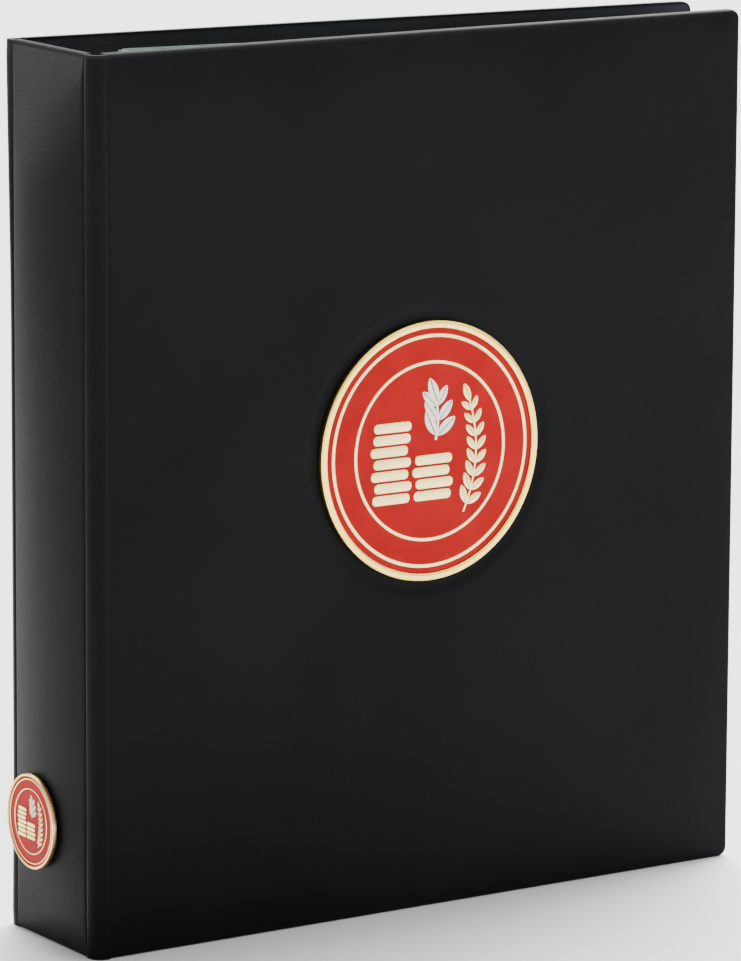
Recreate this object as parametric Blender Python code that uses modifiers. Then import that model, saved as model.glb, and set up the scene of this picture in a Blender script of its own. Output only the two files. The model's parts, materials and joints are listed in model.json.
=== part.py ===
"""Coin album: a padded binder that stands on its bottom edge.

Two padded covers hang on flexible hinge strips at either side of a crowned spine.
A four-ring mechanism is riveted inside the spine and carries five green cards and
four coin pages. A round medallion sits on the front cover and a small one on the spine.

Frame: +Z up, front cover towards -Y, spine towards -X. The album stands on z = 0 with the
origin under the middle of its box. Lengths are in metres.
"""

from math import asin, cos, pi, radians, sin

import bmesh
import bpy
from mathutils import Matrix

MM = 0.001

# ---- driving dimensions -------------------------------------------------------------
HEIGHT = 270 * MM
COVER_WIDTH = 237 * MM
SPINE_DEPTH = 54 * MM
TAPER = radians(2.7)  # each cover leans in towards the fore edge
GAP = 0.3 * MM  # between pieces that touch on the real album

# ---- padded panels ------------------------------------------------------------------
HINGE_LEG = 5.5 * MM  # corner of the case to the edge of a stiff panel
COVER_THICKNESS = 4.2 * MM
SPINE_THICKNESS = 3.0 * MM
SKIN = 0.7 * MM
FRONT_SKIN_FACE = 0.8 * MM  # the outer face of a cover's skin is foam-backed
LINING = 0.4 * MM
BOARD = 1.5 * MM
CORNER_RADIUS = 3.0 * MM
EDGE_RADIUS = 1.2 * MM
SPINE_CROWN = 1.8 * MM
FOAM_HALF_WIDTH = 14.0 * MM
STRIP_THICKNESS = 1.0 * MM

# ---- medallions ---------------------------------------------------------------------
FRONT_BADGE_RADIUS = 40.0 * MM
FRONT_BADGE_ALONG = 119.5 * MM
FRONT_BADGE_Z = 142.6 * MM
BADGE_RECESS_RADIUS = 43.5 * MM
BADGE_RECESS_DEPTH = 0.5 * MM
SPINE_BADGE_RADIUS = 14.5 * MM
SPINE_BADGE_Y = 6.0 * MM
SPINE_BADGE_Z = 36.5 * MM

# ---- ring mechanism: u is the distance from its base, outwards from the spine -------------
MECHANISM_X = SPINE_THICKNESS + GAP
CANOPY_HALF_WIDTH = 11.0 * MM
CANOPY_WALL_HEIGHT = 4.3 * MM
CANOPY_HEIGHT = 7.3 * MM
CANOPY_SHEET = 0.8 * MM
CANOPY_LIP = 2.2 * MM
CANOPY_LENGTH = 223 * MM
PLATE_PIVOT_U = 2.9 * MM
PLATE_PIVOT_V = 9.8 * MM
PLATE_WIDTH = 9.55 * MM
PLATE_SHEET = 1.2 * MM
PLATE_LENGTH = 210.8 * MM
PLATE_TILT = radians(5)  # the closed plates dip towards the middle
STUD_V = 5.5 * MM
RING_CENTRE_U = 20.0 * MM
RING_RADIUS = 15.0 * MM
WIRE_RADIUS = 1.4 * MM
RING_PITCH = 65 * MM
RING_COUNT = 4
RING_ARC = radians(130)
RIVET_SPREAD = 65 * MM  # rivets stand this far above and below mid height
RIVET_RADIUS = 2.0 * MM
TRIGGER_SPREAD = 108 * MM
TRIGGER_U = 2.1 * MM
TRIGGER_HALF_WIDTH = 3.0 * MM
TRIGGER_ARM = 9.5 * MM
TRIGGER_LEAN = radians(20)
PIN_RADIUS = 0.8 * MM

# ---- leaves on the rings ------------------------------------------------------------
LEAF_EDGE = 2.6 * MM  # ring axis to the bound edge of a leaf
LEAF_WIDTH = 200 * MM
LEAF_DROOP = radians(0.8)  # loose slots let the fore edge down to the table
BLOCK_SHIFT = 3.0 * MM  # the leaves lie nearer the back cover
CARD_HEIGHT = 264 * MM
PAGE_HEIGHT = 263.5 * MM
CARD_INSET = 2.0 * MM  # a card's bound edge sits inside a page's binding strip
CARD_THICKNESS = 0.5 * MM
PAGE_THICKNESS = 1.0 * MM
LEAF_GAP = 0.35 * MM
LEAF_CORNER = 4.0 * MM
SLOT_START = 9.0 * MM
SLOT_END = 21.8 * MM
SLOT_RADIUS = 3.0 * MM

MID_Z = HEIGHT / 2
SPINE_HALF = SPINE_DEPTH / 2 - HINGE_LEG
RING_AXIS_X = MECHANISM_X + RING_CENTRE_U
RING_HEIGHTS = [MID_Z + (i - (RING_COUNT - 1) / 2) * RING_PITCH for i in range(RING_COUNT)]

BADGE_FLOOR = 0.6 * MM
BADGE_RIM = 1.6 * MM
SPINE_BADGE_FACE_X = -(SPINE_CROWN + GAP + BADGE_RIM)
FORE_EDGE_X = COVER_WIDTH * cos(TAPER) - EDGE_RADIUS * sin(TAPER)
CENTRE_X = (SPINE_BADGE_FACE_X + FORE_EDGE_X) / 2


# ---- scene and materials ------------------------------------------------------------
def clear_scene():
    for obj in list(bpy.data.objects):
        bpy.data.objects.remove(obj)


def new_collection(name):
    collection = bpy.data.collections.new(name)
    bpy.context.scene.collection.children.link(collection)
    return collection


def material(name, colour, roughness, metallic=0.0):
    made = bpy.data.materials.new(name)
    made.use_nodes = True
    made.diffuse_color = (*colour, 1)
    shader = made.node_tree.nodes["Principled BSDF"]
    shader.inputs["Base Color"].default_value = (*colour, 1)
    shader.inputs["Roughness"].default_value = roughness
    shader.inputs["Metallic"].default_value = metallic
    return made


def empty(name, location, parent=None, turn=0.0):
    made = bpy.data.objects.new(name, None)
    ALBUM.objects.link(made)
    made.location = location
    made.rotation_euler.z = turn
    made.parent = parent
    return made


def place(obj, parent, finish):
    """Puts a finished piece in the album, in its parent's coordinates."""
    ALBUM.objects.link(obj)
    obj.parent = parent
    obj.data.materials.append(finish)
    return obj


# ---- shape helpers ------------------------------------------------------------------
def slab_mesh(name, low, high, corner=0.0, edge=0.0, outer_y=None):
    """A box whose two corners at high X may be rounded, and the rim of its outer Y face too."""
    bm = bmesh.new()
    bmesh.ops.create_cube(bm, size=1)
    size = [abs(b - a) for a, b in zip(low, high)]
    middle = [(a + b) / 2 for a, b in zip(low, high)]
    bmesh.ops.scale(bm, vec=size, verts=bm.verts)
    bmesh.ops.translate(bm, vec=middle, verts=bm.verts)
    if corner:
        far = max(low[0], high[0]) - 1e-6
        edges = [e for e in bm.edges if all(v.co.x > far for v in e.verts)
                 and abs(e.verts[0].co.z - e.verts[1].co.z) < 1e-6]
        bmesh.ops.bevel(bm, geom=edges, offset=corner, segments=4, profile=0.5, affect="EDGES")
    if edge:
        edges = [e for e in bm.edges if all(abs(v.co.y - outer_y) < 1e-6 for v in e.verts)]
        bmesh.ops.bevel(bm, geom=edges, offset=edge, segments=2, profile=0.5, affect="EDGES")
    mesh = bpy.data.meshes.new(name)
    bm.to_mesh(mesh)
    bm.free()
    return mesh


def slab(name, low, high, parent, finish, **rounding):
    return place(bpy.data.objects.new(name, slab_mesh(name, low, high, **rounding)), parent, finish)


def cylinder_mesh(name, radius, length, sides):
    """A closed cylinder along Z, centred on the origin."""
    bm = bmesh.new()
    bmesh.ops.create_cone(bm, cap_ends=True, segments=sides, radius1=radius, radius2=radius, depth=length)
    mesh = bpy.data.meshes.new(name)
    bm.to_mesh(mesh)
    bm.free()
    return mesh


def cut(target, mesh, location=(0, 0, 0), turn=(0, 0, 0)):
    """Cuts a mesh out of a piece. The cutter stands in the piece's own parent."""
    cutter = bpy.data.objects.new(f"{target.name}_cutter", mesh)
    CUTTERS.objects.link(cutter)
    cutter.parent = target.parent
    cutter.location = location
    cutter.rotation_euler = turn
    cutter.hide_render = True
    cutter.display_type = "WIRE"
    modifier = target.modifiers.new("cut", "BOOLEAN")
    modifier.operation = "DIFFERENCE"
    modifier.object = cutter
    modifier.solver = "EXACT"


ALONG_Z = Matrix.Identity(3)
ALONG_Y = Matrix(((1, 0, 0), (0, 0, -1), (0, 1, 0)))  # outline lies in X and Z
LEVER_PLANE = Matrix(((0, 1, 0), (0, 0, 1), (1, 0, 0)))  # outline lies in Z and X


def outline_curve(name, loops, thickness, plane):
    """A flat outline, with any holes as further loops, extruded by half its thickness each way."""
    curve = bpy.data.curves.new(name, "CURVE")
    curve.dimensions = "2D"
    curve.fill_mode = "BOTH"
    curve.extrude = thickness / 2
    for loop in loops:
        spline = curve.splines.new("POLY")
        spline.points.add(len(loop) - 1)
        for point, (a, b) in zip(spline.points, loop):
            point.co = (a, b, 0, 1)
        spline.use_cyclic_u = True
    made = bpy.data.objects.new(name, curve)
    made.rotation_euler = plane.to_euler()
    return made


def outline_mesh(name, loops, thickness, plane, location):
    """The same extruded outline as a mesh in its parent's coordinates, ready to be cut or to cut."""
    made = outline_curve(name, loops, thickness, plane)
    CUTTERS.objects.link(made)
    bpy.context.view_layer.update()
    graph = bpy.context.evaluated_depsgraph_get()
    mesh = bpy.data.meshes.new_from_object(made.evaluated_get(graph))
    mesh.name = name
    mesh.transform(Matrix.Translation(location) @ plane.to_4x4())
    bpy.data.objects.remove(made)
    bm = bmesh.new()
    bm.from_mesh(mesh)
    bmesh.ops.remove_doubles(bm, verts=bm.verts, dist=1e-6)
    bmesh.ops.recalc_face_normals(bm, faces=bm.faces)
    bm.to_mesh(mesh)
    bm.free()
    return mesh


def arc(centre, radius, start, end, steps):
    """Points along an arc, both ends included. Angles in radians, from the first axis."""
    angles = [start + (end - start) * i / steps for i in range(steps + 1)]
    return [(centre[0] + radius * cos(a), centre[1] + radius * sin(a)) for a in angles]


def turned(name, profile, steps, parent, finish, location, turn):
    """A profile of (radius, height) pairs, from the top of the axis round to its bottom, spun about Z."""
    mesh = bpy.data.meshes.new(name)
    mesh.from_pydata([(r, 0, h) for r, h in profile], [(i, i + 1) for i in range(len(profile) - 1)], [])
    made = place(bpy.data.objects.new(name, mesh), parent, finish)
    made.location = location
    made.rotation_euler = turn
    screw = made.modifiers.new("spin", "SCREW")
    screw.steps = screw.render_steps = steps
    screw.use_merge_vertices = True
    screw.merge_threshold = 1e-5
    return made


def tube(name, points, radius, parent, finish):
    """A round wire along a list of points, with filled ends."""
    curve = bpy.data.curves.new(name, "CURVE")
    curve.dimensions = "3D"
    curve.bevel_depth = radius
    curve.bevel_resolution = 2
    curve.use_fill_caps = True
    spline = curve.splines.new("POLY")
    spline.points.add(len(points) - 1)
    for point, place_at in zip(spline.points, points):
        point.co = (*place_at, 1)
    return place(bpy.data.objects.new(name, curve), parent, finish)


# ---- covers and hinges --------------------------------------------------------------
def build_cover(side_name, side, finishes):
    """A padded cover on its hinge. side is -1 for the front and +1 for the back."""
    hinge = empty(f"{side_name}_cover_hinge", (0, side * SPINE_DEPTH / 2, 0), ORIGIN, -side * TAPER)
    inward = -side

    def at(x, depth, z):
        return x, inward * depth, z

    skin = slab(f"{side_name}_skin", at(HINGE_LEG, 0, 0), at(COVER_WIDTH, COVER_THICKNESS, HEIGHT), hinge,
                finishes["leatherette"], corner=CORNER_RADIUS, edge=EDGE_RADIUS, outer_y=0)
    cavity = slab_mesh("cavity", at(HINGE_LEG + SKIN, FRONT_SKIN_FACE, SKIN),
                       at(COVER_WIDTH - SKIN, 2 * COVER_THICKNESS, HEIGHT - SKIN), corner=CORNER_RADIUS - SKIN)
    cut(skin, cavity)

    near, far = HINGE_LEG + SKIN + GAP, COVER_WIDTH - SKIN - GAP
    bottom, top = SKIN + GAP, HEIGHT - SKIN - GAP
    lining_depth = COVER_THICKNESS - LINING
    board_depth = lining_depth - GAP - BOARD
    layers = (("foam", FRONT_SKIN_FACE + GAP, board_depth - GAP, "foam"),
              ("board", board_depth, board_depth + BOARD, "greyboard"),
              ("lining", lining_depth, COVER_THICKNESS, "lining"))
    for layer, outer, inner, finish in layers:
        slab(f"{side_name}_{layer}", at(near, outer, bottom), at(far, inner, top), hinge, finishes[finish],
             corner=CORNER_RADIUS - SKIN - GAP)
    return hinge, skin


def build_hinge_strip(side_name, side, finish):
    """A thin welded strip that rounds the corner between the spine and a cover."""
    reach = HINGE_LEG - GAP
    centre = (reach, side * (SPINE_DEPTH / 2 - reach))
    facing = 0 if side < 0 else pi / 2
    outer = arc(centre, reach, pi - facing, 3 * pi / 2 - facing, 8)
    inner = arc(centre, reach - STRIP_THICKNESS, 3 * pi / 2 - facing, pi - facing, 8)
    strip = outline_curve(f"{side_name}_hinge_strip", [outer + inner], HEIGHT, ALONG_Z)
    place(strip, ORIGIN, finish)
    strip.location.z = MID_Z


# ---- spine --------------------------------------------------------------------------
def crown(half_width, inset, steps=12):
    """The spine's crowned outer line between two half widths, set in by some depth."""
    radius = (SPINE_HALF**2 + SPINE_CROWN**2) / (2 * SPINE_CROWN)
    spread = asin(half_width / (radius - inset))
    return arc((radius - SPINE_CROWN, 0), radius - inset, pi + spread, pi - spread, steps)


def build_spine(finishes):
    outer = crown(SPINE_HALF, 0) + [(SPINE_THICKNESS, SPINE_HALF), (SPINE_THICKNESS, -SPINE_HALF)]
    skin = place(bpy.data.objects.new("spine_skin", outline_mesh("spine_skin", [outer], HEIGHT, ALONG_Z,
                                                                 (0, 0, MID_Z))), ORIGIN, finishes["leatherette"])
    inside = SPINE_HALF - SKIN
    hollow = crown(inside, SKIN) + [(2 * SPINE_THICKNESS, inside), (2 * SPINE_THICKNESS, -inside)]
    cut(skin, outline_mesh("spine_hollow", [hollow], HEIGHT - 2 * SKIN, ALONG_Z, (0, 0, MID_Z)))

    reach = inside - GAP
    bottom, top = SKIN + GAP, HEIGHT - SKIN - GAP
    lining_x = SPINE_THICKNESS - LINING
    board_x = lining_x - GAP - BOARD
    board = slab("spine_board", (board_x, -reach, bottom), (board_x + BOARD, reach, top), ORIGIN,
                 finishes["greyboard"])
    lining = slab("spine_lining", (lining_x, -reach, bottom), (SPINE_THICKNESS, reach, top), ORIGIN,
                  finishes["lining"])
    pad = crown(FOAM_HALF_WIDTH, SKIN + GAP) + [(board_x - GAP, FOAM_HALF_WIDTH), (board_x - GAP, -FOAM_HALF_WIDTH)]
    foam = place(bpy.data.objects.new("spine_foam", outline_mesh("spine_foam", [pad], top - bottom, ALONG_Z,
                                                                 (0, 0, MID_Z))), ORIGIN, finishes["foam"])
    along_x = (0, pi / 2, 0)
    for z in (MID_Z - RIVET_SPREAD, MID_Z + RIVET_SPREAD):
        for piece in (board, lining):
            cut(piece, cylinder_mesh("rivet_hole", RIVET_RADIUS + GAP, 12 * MM, 20), (0, 0, z), along_x)
        cut(foam, cylinder_mesh("rivet_well", 2 * RIVET_RADIUS, 12 * MM, 20), (0, 0, z), along_x)
    return board_x


# ---- medallions ---------------------------------------------------------------------
def build_badge(name, radius, parent, location, turn, steps, finishes):
    """A cast plate with a raised rim, an enamel disc in it and a thin raised relief on that."""
    rim_inner = radius * 0.936
    chamfer = 0.3 * MM
    plate = [(0, BADGE_FLOOR), (rim_inner, BADGE_FLOOR), (rim_inner, BADGE_RIM), (radius - chamfer, BADGE_RIM),
             (radius, BADGE_RIM - chamfer), (radius, 0), (0, 0)]
    turned(f"{name}_plate", plate, steps, parent, finishes["gold"], location, turn)
    enamel_low = BADGE_FLOOR + GAP
    enamel_high = BADGE_RIM - GAP - 0.2 * MM
    enamel = [(0, enamel_high), (rim_inner - GAP, enamel_high), (rim_inner - GAP, enamel_low), (0, enamel_low)]
    turned(f"{name}_enamel", enamel, steps, parent, finishes["enamel"], location, turn)
    relief_outer, relief_inner = radius * 0.664, radius * 0.52
    relief_low = enamel_high + GAP
    relief = [(relief_inner, relief_low), (relief_inner, BADGE_RIM), (relief_outer, BADGE_RIM),
              (relief_outer, relief_low), (relief_inner, relief_low)]
    turned(f"{name}_relief", relief, steps, parent, finishes["relief"], location, turn)


# ---- ring mechanism -----------------------------------------------------------------
def canopy_loop():
    """The arched sheet's section: rolled lips, upright walls and a shallow roof, as (u, v) points."""
    rise = CANOPY_HEIGHT - CANOPY_WALL_HEIGHT
    roof = (CANOPY_HALF_WIDTH**2 + rise**2) / (2 * rise)
    centre = (CANOPY_HEIGHT - roof, 0)
    outer_spread = asin(CANOPY_HALF_WIDTH / roof)
    inner_half = CANOPY_HALF_WIDTH - CANOPY_SHEET
    inner_spread = asin(inner_half / (roof - CANOPY_SHEET))
    lip = CANOPY_HALF_WIDTH - CANOPY_LIP
    outer = arc(centre, roof, -outer_spread, outer_spread, 12)
    inner = arc(centre, roof - CANOPY_SHEET, inner_spread, -inner_spread, 12)
    return ([(0, -lip), (0, -CANOPY_HALF_WIDTH)] + outer + [(0, CANOPY_HALF_WIDTH), (0, lip)]
            + [(CANOPY_SHEET, lip), (CANOPY_SHEET, inner_half)] + inner
            + [(CANOPY_SHEET, -inner_half), (CANOPY_SHEET, -lip)])


def build_canopy(finish):
    loop = [(MECHANISM_X + u, v) for u, v in canopy_loop()]
    mesh = outline_mesh("ring_canopy", [loop], CANOPY_LENGTH, ALONG_Z, (0, 0, MID_Z))
    canopy = place(bpy.data.objects.new("ring_canopy", mesh), ORIGIN, finish)
    window_half, window_inner, window_outer = 2.1 * MM, 5.2 * MM, 10.0 * MM
    for z in RING_HEIGHTS:
        for side in (-1, 1):
            cut(canopy, slab_mesh("ring_window",
                                  (MECHANISM_X + 4.6 * MM, side * window_inner, z - window_half),
                                  (MECHANISM_X + 9 * MM, side * window_outer, z + window_half)))
    for end in (-1, 1):
        notch_low, notch_high = sorted((MID_Z + end * (TRIGGER_SPREAD - 1.9 * MM), MID_Z + end * HEIGHT / 2))
        cut(canopy, slab_mesh("trigger_notch", (MECHANISM_X + 3 * MM, -TRIGGER_HALF_WIDTH - 0.6 * MM, notch_low),
                              (MECHANISM_X + 9 * MM, TRIGGER_HALF_WIDTH + 0.6 * MM, notch_high)))
        cut(canopy, cylinder_mesh("pin_hole", PIN_RADIUS + GAP, 3 * CANOPY_HALF_WIDTH, 16),
            (MECHANISM_X + TRIGGER_U, 0, MID_Z + end * TRIGGER_SPREAD), (pi / 2, 0, 0))
        cut(canopy, cylinder_mesh("rivet_hole", RIVET_RADIUS + GAP, 8 * MM, 20),
            (MECHANISM_X + CANOPY_HEIGHT, 0, MID_Z + end * RIVET_SPREAD), (0, pi / 2, 0))


def build_rivets(board_x, finish):
    """Hollow rivets through the canopy and the spine board, headed inside and spread outside."""
    head = MECHANISM_X + CANOPY_HEIGHT + GAP
    spread_face = board_x - GAP
    flange, dome = 0.5 * MM, 0.9 * MM
    profile = [(0, head + dome), (1.8 * RIVET_RADIUS * 0.6, head + dome * 0.85), (1.8 * RIVET_RADIUS, head),
               (RIVET_RADIUS, head), (RIVET_RADIUS, spread_face), (1.6 * RIVET_RADIUS, spread_face),
               (1.6 * RIVET_RADIUS, spread_face - flange), (0, spread_face - flange)]
    for number, z in enumerate((MID_Z - RIVET_SPREAD, MID_Z + RIVET_SPREAD), 1):
        turned(f"canopy_rivet_{number}", profile, 20, ORIGIN, finish, (0, 0, z), (0, pi / 2, 0))


def ring_path(side):
    """One half ring from its tip round to the stud in its plate, as (u, v) from the plate's pivot."""
    tip = asin(GAP / 2 / RING_RADIUS)
    steps = 14
    bow = [(RING_CENTRE_U + RING_RADIUS * cos(a), side * RING_RADIUS * sin(a))
           for a in (tip + (RING_ARC - tip) * i / steps for i in range(steps + 1))]
    along = PLATE_PIVOT_V - STUD_V
    foot_u = PLATE_PIVOT_U - along * sin(PLATE_TILT)
    foot_v = PLATE_PIVOT_V - along * cos(PLATE_TILT)
    stud = [(foot_u + rise * cos(PLATE_TILT), side * (foot_v - rise * sin(PLATE_TILT)))
            for rise in (1.1 * MM, -PLATE_SHEET / 2)]
    return [(u - PLATE_PIVOT_U, v - side * PLATE_PIVOT_V) for u, v in bow + stud]


def build_ring_set(side_name, side, finishes):
    """A sprung plate with its four half rings, on the pivot line along the plate's outer edge."""
    pivot = empty(f"{side_name}_plate_pivot", (MECHANISM_X + PLATE_PIVOT_U, side * PLATE_PIVOT_V, 0), ORIGIN)
    tilt = empty(f"{side_name}_plate_tilt", (0, 0, 0), pivot, side * -PLATE_TILT)
    half, low = PLATE_SHEET / 2, MID_Z - PLATE_LENGTH / 2
    plate = slab(f"{side_name}_hinge_plate", (-half, 0, low), (half, -side * PLATE_WIDTH, low + PLATE_LENGTH),
                 tilt, finishes["steel"])
    along_x = (0, pi / 2, 0)
    for z in RING_HEIGHTS:
        cut(plate, cylinder_mesh("stud_hole", WIRE_RADIUS + GAP, 4 * MM, 16),
            (0, -side * (PLATE_PIVOT_V - STUD_V), z), along_x)
    for z in (MID_Z - RIVET_SPREAD, MID_Z + RIVET_SPREAD):
        cut(plate, cylinder_mesh("rivet_notch", RIVET_RADIUS + 0.8 * MM, 4 * MM, 20),
            (0, -side * (PLATE_WIDTH + GAP), z), along_x)
    for number, z in enumerate(RING_HEIGHTS, 1):
        tube(f"{side_name}_half_ring_{number}", [(u, v, z) for u, v in ring_path(side)], WIRE_RADIUS, pivot,
             finishes["chrome"])


def trigger_loop(end):
    """The lever's outline as (z, u) from its pin. The foot lies under the plates, the arm leans outwards."""
    boss, half = 1.9 * MM, 0.65 * MM
    foot_tip, foot_low, foot_high = 4.5 * MM, -1.8 * MM, -1.0 * MM
    lean = pi / 2 + TRIGGER_LEAN
    flank = asin(half / boss)

    def arm(along, across):
        return (along * cos(lean) + across * sin(lean), along * sin(lean) - across * cos(lean))

    under = asin(foot_low / boss)
    over = asin(foot_high / boss)
    loop = [(foot_tip, foot_low)]
    loop += arc((0, 0), boss, under, lean + flank - 2 * pi, 12)
    loop += [arm(TRIGGER_ARM, -half), arm(TRIGGER_ARM + half, 0), arm(TRIGGER_ARM, half)]
    loop += arc((0, 0), boss, lean - flank, over, 8)
    loop += [(foot_tip, foot_high)]
    return [(-end * z, u) for z, u in loop]


def build_trigger(name, end, finishes):
    """A lever at one end of the canopy and the pin that it turns on. end is -1 below and +1 above."""
    at = (MECHANISM_X + TRIGGER_U, 0, MID_Z + end * TRIGGER_SPREAD)
    pivot = empty(f"{name}_pivot", at, ORIGIN)
    bore = arc((0, 0), PIN_RADIUS + GAP, 0, 2 * pi * 15 / 16, 15)
    lever = outline_curve(name, [trigger_loop(end), bore], 2 * TRIGGER_HALF_WIDTH, LEVER_PLANE)
    place(lever, pivot, finishes["chrome"])
    pin = place(bpy.data.objects.new(f"{name}_pin", cylinder_mesh("pin", PIN_RADIUS,
                                                                  2 * CANOPY_HALF_WIDTH - 0.2 * MM, 16)),
                ORIGIN, finishes["steel"])
    pin.location = at
    pin.rotation_euler.x = pi / 2


# ---- leaves -------------------------------------------------------------------------
def drooped(loop):
    """A leaf's outline turned in its own plane, about the ring axis at mid height."""
    c, s = cos(LEAF_DROOP), sin(LEAF_DROOP)
    return [(x * c + (z - MID_Z) * s, MID_Z + (z - MID_Z) * c - x * s) for x, z in loop]


def leaf_loops(height, bound):
    """A leaf's outline from its bound edge, and its four oblong punched slots, as (x, z) from the ring axis."""
    low, high = MID_Z - height / 2, MID_Z + height / 2
    far = LEAF_EDGE + LEAF_WIDTH
    inner = far - LEAF_CORNER
    edge = [(bound, low)]
    edge += arc((inner, low + LEAF_CORNER), LEAF_CORNER, -pi / 2, 0, 4)
    edge += arc((inner, high - LEAF_CORNER), LEAF_CORNER, 0, pi / 2, 4)
    edge += [(bound, high)]
    slots = []
    for z in RING_HEIGHTS:
        right = arc((SLOT_END - SLOT_RADIUS, z), SLOT_RADIUS, -pi / 2, pi / 2, 6)
        left = arc((SLOT_START + SLOT_RADIUS, z), SLOT_RADIUS, pi / 2, 3 * pi / 2, 6)
        slots.append(right + left)
    return [drooped(loop) for loop in [edge] + slots]


def build_leaves(finishes):
    """Cards and coin pages in turn, from the front cover to the back one."""
    axis = empty("leaf_axis", (RING_AXIS_X, 0, 0), ORIGIN)
    pages = 4
    names = ["green_card_1"]
    for number in range(1, pages + 1):
        names += [f"coin_page_{number}", f"green_card_{number + 1}"]
    thick = {"green_card": CARD_THICKNESS, "coin_page": PAGE_THICKNESS}
    size = {"green_card": (CARD_HEIGHT, LEAF_EDGE + CARD_INSET), "coin_page": (PAGE_HEIGHT, LEAF_EDGE)}
    total = (pages + 1) * CARD_THICKNESS + pages * PAGE_THICKNESS + 2 * pages * LEAF_GAP
    y = BLOCK_SHIFT - total / 2
    for name in names:
        kind = name.rsplit("_", 1)[0]
        loops = leaf_loops(*size[kind])
        leaf = outline_curve(name, loops, thick[kind], ALONG_Y)
        place(leaf, axis, finishes[kind])
        leaf.location.y = y + thick[kind] / 2
        y += thick[kind] + LEAF_GAP


# ---- the album ----------------------------------------------------------------------
clear_scene()
ALBUM = new_collection("coin_album")
CUTTERS = new_collection("cutters")
CUTTERS.hide_render = True
ORIGIN = empty("album_origin", (-CENTRE_X, 0, 0))

FINISHES = {
    "leatherette": material("leatherette", (0.012, 0.012, 0.014), 0.45),
    "lining": material("lining", (0.015, 0.015, 0.016), 0.55),
    "foam": material("foam", (0.35, 0.35, 0.34), 0.95),
    "greyboard": material("greyboard", (0.30, 0.28, 0.25), 0.9),
    "gold": material("gold", (0.90, 0.70, 0.32), 0.3, 1.0),
    "enamel": material("enamel", (0.58, 0.03, 0.02), 0.25),
    "relief": material("relief", (0.95, 0.85, 0.55), 0.35, 1.0),
    "steel": material("steel", (0.60, 0.60, 0.60), 0.35, 1.0),
    "chrome": material("chrome", (0.80, 0.80, 0.80), 0.15, 1.0),
    "green_card": material("green_card", (0.10, 0.25, 0.16), 0.85),
    "coin_page": material("coin_page", (0.75, 0.80, 0.78), 0.2),
}

for SIDE_NAME, SIDE in (("front", -1), ("back", 1)):
    HINGE, SKIN_PIECE = build_cover(SIDE_NAME, SIDE, FINISHES)
    if SIDE_NAME == "front":
        cut(SKIN_PIECE, cylinder_mesh("badge_recess", BADGE_RECESS_RADIUS, 2 * BADGE_RECESS_DEPTH, 64),
            (FRONT_BADGE_ALONG, 0, FRONT_BADGE_Z), (pi / 2, 0, 0))
        build_badge("front_badge", FRONT_BADGE_RADIUS, HINGE,
                    (FRONT_BADGE_ALONG, BADGE_RECESS_DEPTH - GAP, FRONT_BADGE_Z), (pi / 2, 0, 0), 48, FINISHES)
    build_hinge_strip(SIDE_NAME, SIDE, FINISHES["leatherette"])
    build_ring_set(SIDE_NAME, SIDE, FINISHES)

BOARD_X = build_spine(FINISHES)
build_badge("spine_badge", SPINE_BADGE_RADIUS, ORIGIN,
            (-SPINE_CROWN - GAP, SPINE_BADGE_Y, SPINE_BADGE_Z), (0, -pi / 2, 0), 32, FINISHES)
build_canopy(FINISHES["chrome"])
build_rivets(BOARD_X, FINISHES["steel"])
build_trigger("lower_trigger", -1, FINISHES)
build_trigger("upper_trigger", 1, FINISHES)
build_leaves(FINISHES)
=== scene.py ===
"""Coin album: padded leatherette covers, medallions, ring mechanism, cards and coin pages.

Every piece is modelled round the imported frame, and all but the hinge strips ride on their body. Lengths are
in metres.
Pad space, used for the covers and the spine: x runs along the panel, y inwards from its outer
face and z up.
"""

import json
from contextlib import contextmanager
from math import atan2, cos, hypot, pi, radians, sin, sqrt

import bmesh
import bpy
from mathutils import Matrix, Vector


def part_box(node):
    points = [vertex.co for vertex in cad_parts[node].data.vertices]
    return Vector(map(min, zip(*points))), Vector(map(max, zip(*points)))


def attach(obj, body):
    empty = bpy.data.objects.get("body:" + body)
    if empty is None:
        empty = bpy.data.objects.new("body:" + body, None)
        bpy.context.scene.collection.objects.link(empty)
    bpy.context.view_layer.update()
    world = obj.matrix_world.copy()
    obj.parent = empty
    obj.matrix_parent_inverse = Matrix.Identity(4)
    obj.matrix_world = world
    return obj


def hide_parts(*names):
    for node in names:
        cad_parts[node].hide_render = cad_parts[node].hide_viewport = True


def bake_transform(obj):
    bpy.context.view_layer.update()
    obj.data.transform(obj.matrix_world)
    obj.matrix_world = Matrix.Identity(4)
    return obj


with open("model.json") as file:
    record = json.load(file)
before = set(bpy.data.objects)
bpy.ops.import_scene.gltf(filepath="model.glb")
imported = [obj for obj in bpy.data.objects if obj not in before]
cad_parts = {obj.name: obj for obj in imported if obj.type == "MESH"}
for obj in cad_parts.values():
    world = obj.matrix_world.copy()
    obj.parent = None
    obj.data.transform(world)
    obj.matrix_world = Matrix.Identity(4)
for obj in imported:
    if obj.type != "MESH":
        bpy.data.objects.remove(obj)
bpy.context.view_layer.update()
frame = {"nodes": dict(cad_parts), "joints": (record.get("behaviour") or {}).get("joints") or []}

MM = 0.001

# ---- sizes that the frame fixes -----------------------------------------------------
JOINTS = {joint["name"]: joint for joint in frame["joints"]}
CASE_X = JOINTS["front_cover_open"]["pos_m"][0]
HALF_DEPTH = -JOINTS["front_cover_open"]["pos_m"][1]
RING_AXIS_X = JOINTS["green_card_1_turn"]["pos_m"][0]
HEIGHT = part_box("front_skin")[1].z
MID_Z = HEIGHT / 2
TAPER = radians(2.7)
HINGE_LEG = 5.5 * MM
COVER_WIDTH = 237 * MM
COVER_THICKNESS = 4.2 * MM
SPINE_THICKNESS = 3.0 * MM
SPINE_HALF = HALF_DEPTH - HINGE_LEG
SPINE_CROWN = 1.8 * MM
CROWN_FADE = 42 * MM
LINING = 0.4 * MM

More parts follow.
